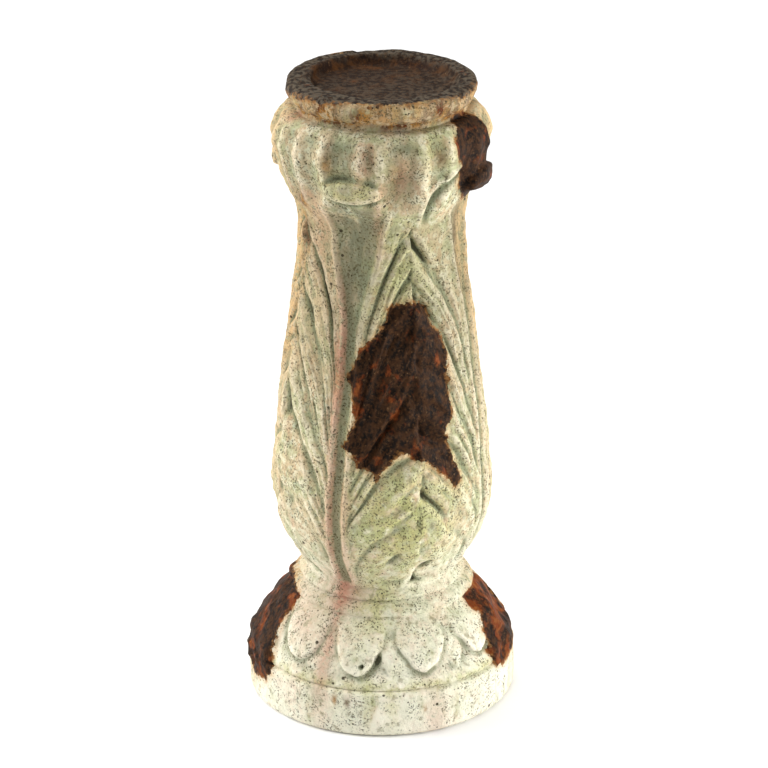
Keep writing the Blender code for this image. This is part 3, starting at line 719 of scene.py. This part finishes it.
# Stains and painted light: the coat is cream and olive, paler towards the bottom all round and darker from
# 130 to 266 mm, grey-olive in the hollows from dirt and painted shade, very dark in the deepest cuts as
# painted shade, lighter on the ridges as a painted highlight, green with algae low on the body, pink where
# rust water ran down the front stem, and tan at the sides and round the crust.
# A spot is a strength, an azimuth in degrees, a height in mm, and two half sizes in degrees and in mm.
PINK_SPOTS = (
    (1.0, -26, 66, 13, 10), (0.8, -28, 40, 4, 30), (0.5, 24, 8, 6, 18), (0.45, -48, 52, 16, 14),
    (0.7, 11, 285, 7, 14), (0.35, -11, 288, 3, 18), (1.0, -67, 306, 6, 3), (0.6, -2, 262, 4, 22),
    (0.5, -45, 255, 10, 25),
)
GREEN_SPOTS = (
    (1.0, 10, 110, 32, 34), (0.6, 8, 235, 26, 30), (0.9, -18, 280, 15, 6), (0.7, 30, 298, 12, 9),
    (0.6, 5, 20, 4, 14), (0.5, -6, 20, 2, 14), (0.8, -2, 60, 15, 17),
)
RUST_SPOTS = (
    (1.0, -20.4, 18.7, 0.9, 2.4), (1.0, -14.7, 18.1, 0.9, 2.2), (1.0, 18.8, 14.4, 0.8, 1.8),
    (0.8, 32, 294, 4, 5), (0.8, -6.5, 294, 3, 6), (0.8, -30, 291, 3, 6), (1.0, -54.5, 267, 5, 6),
    (0.8, -66, 250, 7, 22), (0.5, 70, 240, 9, 30), (0.55, -26, 184, 2.5, 9), (0.55, 8, 284, 5, 11),
)
# Spots where the hollows' painted shade, painted highlight and dirt are weakened: above the front tip and in
# a narrow flute.
SOFTER_HOLLOW_SPOTS = ((0.55, STEM_HEAD_AZIMUTH, 277, 13, 6), (0.50, -6.5, 291, 6, 13))
HOLLOW_REACH = 0.0030
BODY_MEAN_RADIUS = 0.048


def spotted(points, spots):
    """Soft oval stains, added up."""
    azimuth, height = azimuths(points), points[:, 2] * 1000.0
    total = np.zeros(len(points))
    for strength, middle, level, wide, tall in spots:
        off = around(azimuth, middle, 1) / wide
        total = total + strength * np.exp(-(off**2) - ((height - level) / tall) ** 2)
    return total


def hollows(points):
    """How much deeper a place is cut than what surrounds it, in mm."""
    radius = np.hypot(points[:, 0], points[:, 1])
    here = carving(points, radius)
    around_it = np.zeros(len(points))
    for turn in np.arange(8) * math.pi / 4:
        side = math.degrees(HOLLOW_REACH * math.cos(turn)) / np.maximum(radius, LEAST_RADIUS)
        angle = np.radians(azimuths(points) + side)
        level = points[:, 2] + HOLLOW_REACH * math.sin(turn)
        moved = np.column_stack((radius * np.sin(angle), -radius * np.cos(angle), level))
        around_it = around_it + carving(moved, radius) / 8
    return (here - around_it) * 1000.0


def pink_stain(points):
    """Rust water: down the left rib of the front stem and over the base, and in a flute of the collar."""
    height = points[:, 2]
    half_angle = np.degrees(stem_half_width(height) / BODY_MEAN_RADIUS)
    rib = stem_azimuth(height) - half_angle
    run = np.exp(-((around(azimuths(points) - rib, 0.0, 1) / 5.0) ** 2))
    run = run * ease((height - 0.075) / 0.02) * ease((0.255 - height) / 0.04)
    run = run * (0.48 + 0.62 * ridge(height - 0.185, 0.03))
    off_stem = around(azimuths(points), stem_azimuth(height), 1) / half_angle
    channel = ease(1.6 - np.abs(off_stem - 0.2)) * ease((height - 0.068) / 0.01)
    channel = channel * ease((0.160 - height) / 0.04)
    return np.clip(run + spotted(points, PINK_SPOTS) + 0.55 * channel, 0.0, 1.2)


def green_stain(points):
    """Algae: low on the body right of the front stem, in the step of the base, and on the front tip."""
    in_step = 0.7 * ridge(points[:, 2] - 0.026, 0.0025)
    return np.clip(spotted(points, GREEN_SPOTS) + in_step, 0.0, 1.0)


def tan_stain(points):
    """Tan: at the sides, over the left leaf, and in a ring round each bare patch."""
    azimuth = azimuths(points)
    sides = ease((np.abs(azimuth - 2.0) - 60.0) / 22.0)
    left = ease((-26.0 - azimuth) / 14.0) * ease((points[:, 2] - 0.070) / 0.030)
    left = left * ease((0.275 - points[:, 2]) / 0.02)
    ringed = ease((crust_depth(points) + 0.0040) / 0.0040) * 0.7
    low = ease((0.200 - points[:, 2]) / 0.040)
    return np.clip((0.8 - 0.4 * low) * sides + (0.35 - 0.25 * low) * left + ringed, 0.0, 1.0)


def rusty_stain(points):
    """Brown rust in the coat: on the disc's side and the groove under it, and in spots and pits."""
    height = points[:, 2]
    side = ease((height - COLLAR_TOP - 0.001) / 0.004) * (0.85 + 0.75 * lumps(points, 0.009, 45))
    groove = ridge(height - DISC_FOOT + 0.0010, 0.0020) * ease((lumps(points, 0.014, 46) + 0.5) / 0.6)
    return np.clip(side + groove + spotted(points, RUST_SPOTS), 0.0, 1.2)


def grime_and_shade_stain(points):
    """Grey-olive in the stems' channels and the broad flutes, from dirt and painted shade, and painted shadow
    under the leaf head's margin.
    """
    azimuth, height = azimuths(points), points[:, 2]
    radius = np.hypot(points[:, 0], points[:, 1])
    off_stem = np.abs(around(azimuth, stem_azimuth(height), LEAF_COUNT)) * np.radians(radius)
    channel = ease(1.25 - off_stem / stem_half_width(height)) * ease((height - 0.150) / 0.07)
    channel = channel * ease((NECK_LEVEL + 0.021 - height) / 0.005)
    off_flute, width = flute_off(azimuth)
    flute = ease((0.95 - off_flute) / 0.5) * ease((width - 10.0) / 12.0)
    flute = flute * ease((height - NECK_LEVEL - 0.014) / 0.02) * ease((COLLAR_TOP - height) / 0.006)
    reach, stands = margin_place(azimuth, height)
    margin = ridge(reach - 0.84, 0.11) * stands
    return np.clip(channel + 0.7 * flute + 1.3 * margin, 0.0, 1.2)


def note(name, values):
    mesh.attributes.new(name, "FLOAT", "POINT").data.foreach_set("value", np.asarray(values, np.float32))


points = places(mesh)
note("crust", crust_depth(points) * 1000.0)
from_axis = np.hypot(points[:, 0], points[:, 1])
on_disc = ease((points[:, 2] - DISC_FOOT - 0.004) / 0.002)
note("worn", on_disc)
note("redder", ease((0.080 - points[:, 2]) / 0.02) * np.where(points[:, 0] > 0.0, 2.0, 0.8) - 1.5 * on_disc)
in_dish = ease((DISH_RADIUS + 0.003 - from_axis) / 0.003) * on_disc
note("browner", in_dish * ease((points[:, 1] + 0.012) / 0.034) * (0.85 + 0.4 * lumps(points, 0.012, 47)))
note("hollow", hollows(points) * (1.0 - spotted(points, SOFTER_HOLLOW_SPOTS)))
# Height tints, all round: paler towards the bottom, and darker and browner from 130 to 266 mm.
note("paler_low", 0.95 * ease((0.128 - points[:, 2]) / 0.115) * (0.72 + 0.35 * lumps(points, 0.03, 41)))
note("dim", ease((points[:, 2] - 0.130) / 0.08) * ease((0.266 - points[:, 2]) / 0.012))
note("grime_and_shade", grime_and_shade_stain(points))
note("pink", pink_stain(points))
note("green", green_stain(points))
note("tan", tan_stain(points))
note("rusty", rusty_stain(points))


def add_node(tree, kind, settings, **inputs):
    """A new node with its settings, and with each input set to a value or linked to a socket."""
    node = tree.nodes.new(kind)
    for name, value in settings.items():
        setattr(node, name, value)
    for name, value in inputs.items():
        connect(tree, value, node.inputs[name.replace("_", " ")])
    return node


def connect(tree, value, socket):
    if isinstance(value, bpy.types.NodeSocket):
        tree.links.new(value, socket)
    else:
        socket.default_value = value


def blended(tree, share, first, second):
    """A colour between two others."""
    node = tree.nodes.new("ShaderNodeMix")
    node.data_type = "RGBA"
    for value, socket in ((share, node.inputs[0]), (first, node.inputs[6]), (second, node.inputs[7])):
        connect(tree, value, socket)
    return node.outputs[2]


def reckoned(tree, operation, first, second):
    node = add_node(tree, "ShaderNodeMath", {"operation": operation})
    connect(tree, first, node.inputs[0])
    connect(tree, second, node.inputs[1])
    return node.outputs[0]


def times(tree, first, second):
    return reckoned(tree, "MULTIPLY", first, second)


def plus(tree, first, second):
    return reckoned(tree, "ADD", first, second)


def faded(tree, value, low, high):
    """0 at low and 1 at high, with a smooth rise between."""
    smooth = {"interpolation_type": "SMOOTHSTEP"}
    node = add_node(tree, "ShaderNodeMapRange", smooth, Value=value, From_Min=low, From_Max=high)
    return node.outputs["Result"]


def grain(tree, place, size, detail):
    """Noise with grains of the given size in metres."""
    scale = 1.0 / size
    node = add_node(tree, "ShaderNodeTexNoise", {}, Vector=place, Scale=scale, Detail=detail, Roughness=0.6)
    return node.outputs["Fac"]


def told(tree, name):
    return add_node(tree, "ShaderNodeAttribute", {"attribute_name": name}).outputs["Fac"]


def group(name, inputs, outputs):
    tree = bpy.data.node_groups.new(name, "ShaderNodeTree")
    for label, kind in inputs:
        tree.interface.new_socket(name=label, in_out="INPUT", socket_type=kind)
    for label, kind in outputs:
        tree.interface.new_socket(name=label, in_out="OUTPUT", socket_type=kind)
    return tree, tree.nodes.new("NodeGroupInput").outputs, tree.nodes.new("NodeGroupOutput").inputs


VALUE, COLOUR, VECTOR = "NodeSocketFloat", "NodeSocketColor", "NodeSocketVector"
FINISH = [("Color", COLOUR), ("Rough", VALUE), ("Height", VALUE)]

pinholes, given, made = group(
    "pinholes", [("Place", VECTOR), ("Spacing", VALUE), ("Width", VALUE), ("Share", VALUE)], [("Hole", VALUE)]
)
cells = add_node(
    pinholes, "ShaderNodeTexVoronoi", {}, Vector=given["Place"], Randomness=1.0,
    Scale=reckoned(pinholes, "DIVIDE", 1.0, given["Spacing"]),
)
chance = add_node(pinholes, "ShaderNodeSeparateColor", {}, Color=cells.outputs["Color"])
width = times(pinholes, given["Width"], plus(pinholes, 0.4, chance.outputs["Green"]))
edge = reckoned(pinholes, "DIVIDE", width, given["Spacing"])
dot = reckoned(pinholes, "LESS_THAN", cells.outputs["Distance"], edge)
kept = reckoned(pinholes, "LESS_THAN", chance.outputs["Red"], given["Share"])
connect(pinholes, times(pinholes, dot, kept), made["Hole"])


def pinholed(tree, place, spacing, width, share):
    chosen = {"Place": place, "Spacing": spacing, "Width": width, "Share": share}
    return add_node(tree, "ShaderNodeGroup", {"node_tree": pinholes}, **chosen).outputs["Hole"]


lime_coat, given, made = group("lime_coat", [("Place", VECTOR)], FINISH)
place = given["Place"]
cloudy = grain(lime_coat, place, 0.014, 4.0)
patchy = grain(lime_coat, place, 0.0075, 4.0)
mottled = grain(lime_coat, place, 0.0036, 5.0)
fine = grain(lime_coat, place, 0.0016, 4.0)
sandy = grain(lime_coat, place, 0.0010, 2.0)
runs = add_node(lime_coat, "ShaderNodeMapping", {}, Vector=place, Scale=(1.0, 1.0, 0.25)).outputs["Vector"]
runs = grain(lime_coat, runs, 0.0060, 4.0)
hollow = told(lime_coat, "hollow")


def stained(colour, strength, mask, stain):
    """The coat's colour with one stain laid over it."""
    return blended(lime_coat, times(lime_coat, mask, strength), colour, stain)


def where_told(name, noise, low, high):
    return times(lime_coat, told(lime_coat, name), faded(lime_coat, noise, low, high))


clouds = faded(lime_coat, cloudy, 0.40, 0.60)
colour = blended(lime_coat, clouds, (0.43, 0.44, 0.255, 1), (0.57, 0.46, 0.29, 1))
colour = stained(colour, 0.60, faded(lime_coat, patchy, 0.56, 0.68), (0.54, 0.61, 0.47, 1))
colour = stained(colour, 0.60, faded(lime_coat, runs, 0.52, 0.66), (0.54, 0.33, 0.20, 1))
colour = stained(colour, 0.90, faded(lime_coat, mottled, 0.48, 0.64), (0.72, 0.69, 0.50, 1))
# Painted highlight: lighter cream on the ridges, which stand above their surroundings.
high = faded(lime_coat, times(lime_coat, hollow, -1.0), 0.05, 0.6)
colour = stained(colour, 0.60, high, (0.78, 0.70, 0.52, 1))
# The coat is darker from 130 to 266 mm and paler towards the bottom, all round.
colour = stained(colour, 0.40, told(lime_coat, "dim"), (0.21, 0.18, 0.10, 1))
colour = stained(colour, 1.00, where_told("paler_low", runs, 0.22, 0.48), (0.95, 0.92, 0.78, 1))
colour = stained(colour, 0.75, where_told("green", patchy, 0.34, 0.56), (0.46, 0.46, 0.16, 1))
# Dirt and painted shade in the channels and flutes, and painted shadow under the leaf head's margin.
colour = stained(colour, 0.85, where_told("grime_and_shade", runs, 0.28, 0.56), (0.175, 0.178, 0.110, 1))
colour = stained(colour, 0.85, where_told("tan", mottled, 0.34, 0.58), (0.58, 0.37, 0.17, 1))
colour = stained(colour, 0.72, where_told("pink", mottled, 0.26, 0.52), (0.45, 0.19, 0.12, 1))
rust_runs = faded(lime_coat, runs, 0.42, 0.58)
rust = blended(lime_coat, rust_runs, (0.36, 0.175, 0.045, 1), (0.10, 0.028, 0.010, 1))
colour = stained(colour, 0.95, where_told("rusty", patchy, 0.26, 0.48), rust)
colour = stained(colour, 0.80, where_told("rusty", mottled, 0.50, 0.60), (0.44, 0.33, 0.19, 1))
colour = stained(colour, 0.80, where_told("rusty", fine, 0.54, 0.66), (0.09, 0.045, 0.018, 1))
# Grey-olive in the hollows: partly dirt, partly painted shade.
deep = faded(lime_coat, plus(lime_coat, hollow, times(lime_coat, mottled, 0.9)), 0.42, 1.2)
colour = stained(colour, 0.80, deep, (0.195, 0.215, 0.125, 1))
# Painted shade: very dark in the deepest cuts.
painted_crevice_shade = faded(lime_coat, plus(lime_coat, hollow, times(lime_coat, fine, 1.2)), 1.45, 2.4)
colour = stained(colour, 0.88, painted_crevice_shade, (0.045, 0.045, 0.028, 1))
worn_thin = reckoned(lime_coat, "SUBTRACT", 1.0, mottled)
colour = stained(colour, 0.60, faded(lime_coat, worn_thin, 0.55, 0.67), (0.23, 0.20, 0.11, 1))
specked = plus(lime_coat, faded(lime_coat, patchy, 0.42, 0.62), times(lime_coat, deep, 0.4))
specked = reckoned(lime_coat, "SUBTRACT", specked, times(lime_coat, told(lime_coat, "paler_low"), 0.55))
specks = times(lime_coat, faded(lime_coat, sandy, 0.53, 0.63), plus(lime_coat, specked, 0.42))
specks = add_node(lime_coat, "ShaderNodeClamp", {}, Value=specks).outputs["Result"]
colour = stained(colour, 0.82, specks, (0.10, 0.085, 0.045, 1))
small_holes = pinholed(lime_coat, place, 0.0021, 0.00034, 0.38)
large_holes = pinholed(lime_coat, place, 0.0066, 0.00066, 0.45)
holes = reckoned(lime_coat, "MAXIMUM", small_holes, large_holes)
colour = stained(colour, 0.90, holes, (0.05, 0.04, 0.025, 1))
connect(lime_coat, colour, made["Color"])
connect(lime_coat, plus(lime_coat, 0.80, times(lime_coat, fine, 0.2)), made["Rough"])
relief = reckoned(lime_coat, "SUBTRACT", times(lime_coat, fine, 1.2), times(lime_coat, holes, 0.8))
relief = reckoned(lime_coat, "SUBTRACT", relief, times(lime_coat, specks, 0.35))
connect(lime_coat, plus(lime_coat, relief, times(lime_coat, mottled, 1.4)), made["Height"])

rust_crust, given, made = group("rust_crust", [("Place", VECTOR)], FINISH)
place = given["Place"]
stretch = add_node(rust_crust, "ShaderNodeMapping", {}, Vector=place, Scale=(1.0, 1.0, 0.75))
stretched = stretch.outputs["Vector"]
blotches = grain(rust_crust, stretched, 0.0085, 5.0)
streaks = grain(rust_crust, stretched, 0.0026, 5.0)
gritty = grain(rust_crust, place, 0.0013, 3.0)
worn = told(rust_crust, "worn")
redder = told(rust_crust, "redder")
brown_streaks = faded(rust_crust, streaks, 0.38, 0.64)
colour = blended(rust_crust, brown_streaks, (0.007, 0.004, 0.0025, 1), (0.046, 0.019, 0.007, 1))
grey_streaks = faded(rust_crust, streaks, 0.42, 0.58)
grey = blended(rust_crust, grey_streaks, (0.018, 0.012, 0.008, 1), (0.105, 0.085, 0.060, 1))
colour = blended(rust_crust, times(rust_crust, worn, 0.90), colour, grey)
rusty = plus(rust_crust, blotches, times(rust_crust, redder, 0.06))
colour = blended(rust_crust, faded(rust_crust, rusty, 0.56, 0.70), colour, (0.16, 0.035, 0.007, 1))
ginger = times(rust_crust, faded(rust_crust, rusty, 0.60, 0.76), faded(rust_crust, streaks, 0.46, 0.62))
colour = blended(rust_crust, ginger, colour, (0.26, 0.085, 0.02, 1))
browner = times(rust_crust, told(rust_crust, "browner"), faded(rust_crust, streaks, 0.22, 0.50))
colour = blended(rust_crust, browner, colour, (0.022, 0.007, 0.002, 1))
browner = times(rust_crust, browner, faded(rust_crust, blotches, 0.46, 0.64))
colour = blended(rust_crust, times(rust_crust, browner, 0.8), colour, (0.115, 0.042, 0.009, 1))
# Lighter specks on the crust: grit, partly painted glints of its sheen.
grit_and_glints = times(rust_crust, faded(rust_crust, gritty, 0.50, 0.66), 0.42)
colour = blended(rust_crust, grit_and_glints, colour, (0.105, 0.050, 0.020, 1))
pale_specks_and_glints = times(rust_crust, faded(rust_crust, gritty, 0.66, 0.76), 0.45)
colour = blended(rust_crust, pale_specks_and_glints, colour, (0.30, 0.19, 0.10, 1))
connect(rust_crust, colour, made["Color"])
connect(rust_crust, plus(rust_crust, 0.38, times(rust_crust, gritty, 0.45)), made["Rough"])
relief = plus(rust_crust, times(rust_crust, gritty, 0.8), times(rust_crust, streaks, 1.2))
connect(rust_crust, relief, made["Height"])

weathered = bpy.data.materials.new("weathered_stone")
weathered.use_nodes = True
tree = weathered.node_tree
shader = tree.nodes["Principled BSDF"]
shader.inputs["Specular IOR Level"].default_value = 0.08
place = add_node(tree, "ShaderNodeTexCoord", {}).outputs["Object"]
coat = add_node(tree, "ShaderNodeGroup", {"node_tree": lime_coat}, Place=place).outputs
crust = add_node(tree, "ShaderNodeGroup", {"node_tree": rust_crust}, Place=place).outputs
ragged = times(tree, reckoned(tree, "SUBTRACT", grain(tree, place, 0.0042, 6.0), 0.5), 7.0)
depth = plus(tree, told(tree, "crust"), ragged)
bare = faded(tree, depth, -0.10, 0.25)
fringe = reckoned(tree, "SUBTRACT", faded(tree, depth, -1.6, 0.2), faded(tree, depth, 0.4, 1.8))
fringe = times(tree, fringe, faded(tree, grain(tree, place, 0.0022, 4.0), 0.42, 0.62))
colour = blended(tree, bare, coat["Color"], crust["Color"])
colour = blended(tree, times(tree, fringe, 0.8), colour, (0.30, 0.14, 0.045, 1))
connect(tree, colour, shader.inputs["Base Color"])
mixes = {}
for name in ("Rough", "Height"):
    mix = add_node(tree, "ShaderNodeMix", {"data_type": "FLOAT"})
    for number, value in ((0, bare), (2, coat[name]), (3, crust[name])):
        connect(tree, value, mix.inputs[number])
    mixes[name] = mix.outputs[0]
connect(tree, mixes["Rough"], shader.inputs["Roughness"])
bump = add_node(tree, "ShaderNodeBump", {}, Strength=0.8, Distance=0.0006, Height=mixes["Height"])
connect(tree, bump.outputs["Normal"], shader.inputs["Normal"])
mesh.materials.append(weathered)


# Studio: a white floor that fills the camera's view, a large soft light on each side, and a soft sun.
def light(name, place, target, size, power):
    lamp = bpy.data.lights.new(name, "AREA")
    lamp.size = size
    lamp.energy = power
    stand = bpy.data.objects.new(name, lamp)
    stand.location = place
    stand.rotation_euler = (Vector(target) - Vector(place)).to_track_quat("-Z", "Y").to_euler()
    scene.collection.objects.link(stand)


light("left_softbox", (-1.25, 0.10, 0.60), (0.0, 0.0, 0.10), 0.8, 15.0)
light("right_softbox", (1.20, -0.20, 0.25), (0.0, 0.0, 0.06), 0.8, 21.0)

sky = bpy.data.lights.new("overhead_light", "SUN")
sky.energy = 2.3
sky.angle = math.radians(70.0)
overhead = bpy.data.objects.new("overhead_light", sky)
overhead.rotation_euler = (math.radians(-14.0), math.radians(-16.0), 0.0)
scene.collection.objects.link(overhead)

world = bpy.data.worlds.new("white_room")
world.use_nodes = True
world.node_tree.nodes["Background"].inputs["Color"].default_value = (1.0, 1.0, 1.0, 1.0)
world.node_tree.nodes["Background"].inputs["Strength"].default_value = 0.34
scene.world = world
scene.view_settings.view_transform = "Standard"

floor_mesh = bpy.data.meshes.new("studio_floor")
slab = bmesh.new()
bmesh.ops.create_grid(slab, x_segments=8, y_segments=8, size=4.0)
slab.to_mesh(floor_mesh)
slab.free()
floor = bpy.data.objects.new("studio_floor", floor_mesh)
scene.collection.objects.link(floor)
white = bpy.data.materials.new("white_floor")
white.use_nodes = True
white.node_tree.nodes["Principled BSDF"].inputs["Base Color"].default_value = (0.93, 0.93, 0.93, 1.0)
white.node_tree.nodes["Principled BSDF"].inputs["Roughness"].default_value = 0.8
floor_mesh.materials.append(white)
